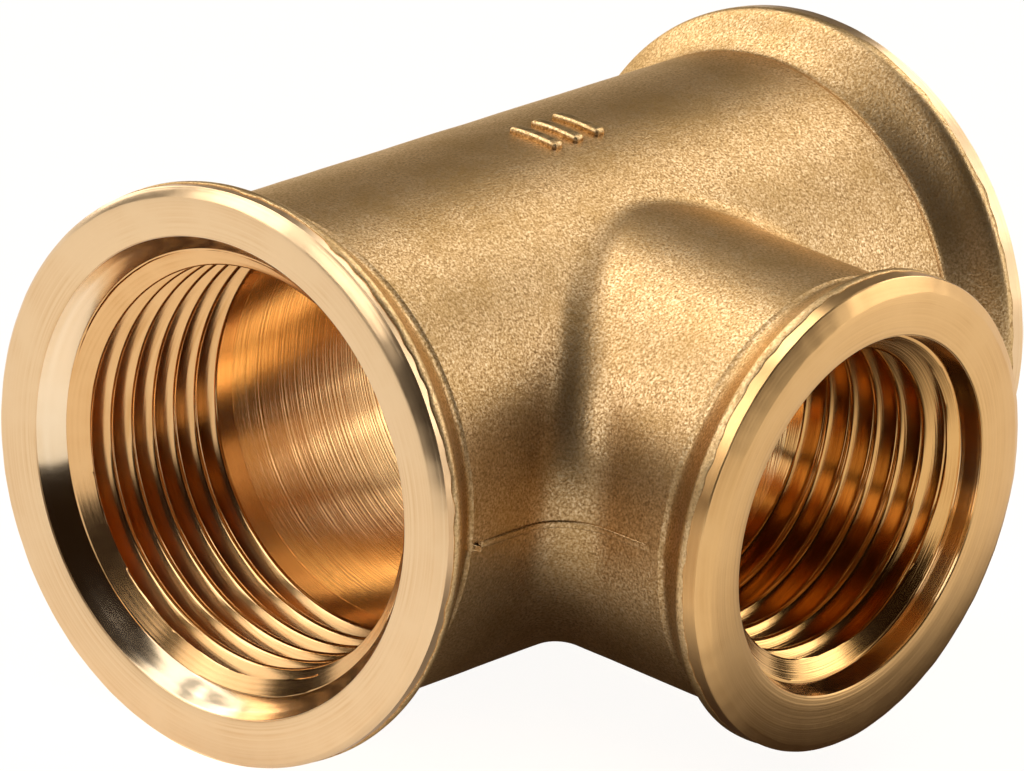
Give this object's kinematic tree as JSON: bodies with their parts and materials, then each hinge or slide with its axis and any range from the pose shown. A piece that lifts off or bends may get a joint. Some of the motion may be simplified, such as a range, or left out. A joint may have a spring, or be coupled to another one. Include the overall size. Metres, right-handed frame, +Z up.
{
  "type": "reducing tee pipe fitting",
  "caption": "Forged brass reducing tee with parallel female pipe threads: a straight run with collared ends and a smaller side branch, for joining water pipes.",
  "frame": {"origin": "middle of the bottom of the bounding box: the fitting stands on its two run collars, and the two bore axes cross 17.25 mm above the origin and 4.625 mm towards +Y", "axes": "+X along the run, +Z up and square to both bores, -Y out of the branch port"},
  "size_m": [0.053, 0.0438, 0.0345],
  "materials": {
    "forged_brass": "hot forged and shot blasted, fine matt grain",
    "machined_brass": "lathe turned satin, fine concentric lines",
    "cut_thread_brass": "cut thread and drilled bore, bright with tool marks"
  },
  "bodies": {
    "root": {"forged_body": "forged_brass", "left_run_collar": "machined_brass", "right_run_collar": "machined_brass", "branch_collar": "machined_brass", "left_run_thread": "cut_thread_brass", "right_run_thread": "cut_thread_brass", "branch_thread": "cut_thread_brass"}
  },
  "joints": []
}
